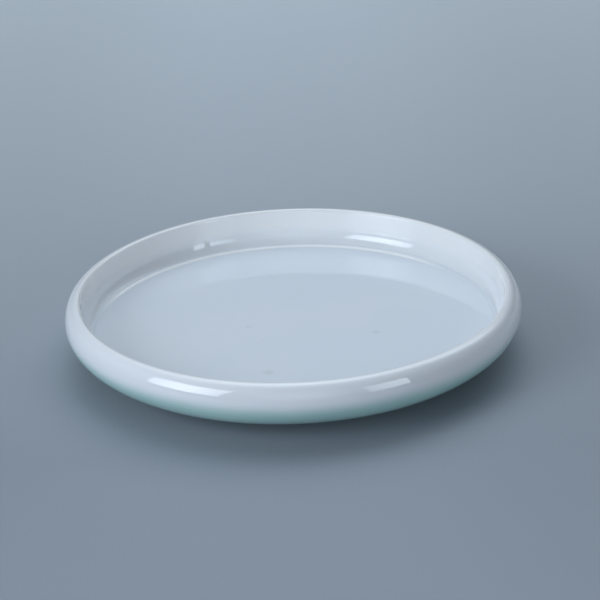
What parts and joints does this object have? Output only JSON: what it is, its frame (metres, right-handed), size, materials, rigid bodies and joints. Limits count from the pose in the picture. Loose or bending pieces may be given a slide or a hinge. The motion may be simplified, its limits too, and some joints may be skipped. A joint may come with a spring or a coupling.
{
  "type": "evaporating dish",
  "caption": "Shallow round glazed dish with a flat floor, a thick rolled rim, a white inside, a mint underside and a bare foot ring.",
  "frame": {"origin": "on the dish's axis, at the plane that the foot ring stands on", "axes": "+Z along the dish's axis, up out of its open side; X and Y are alike, because the dish is round"},
  "size_m": [0.2, 0.2, 0.0291],
  "materials": {
    "white_glaze": "glossy white glaze with a faint lilac tinge",
    "mint_glaze": "glossy mint-green celadon glaze",
    "bare_biscuit": "unglazed, fine-grained fired clay"
  },
  "bodies": {
    "root": {"dish_body": "white_glaze", "underside_shell": "mint_glaze", "foot_ring": "bare_biscuit"}
  },
  "joints": []
}
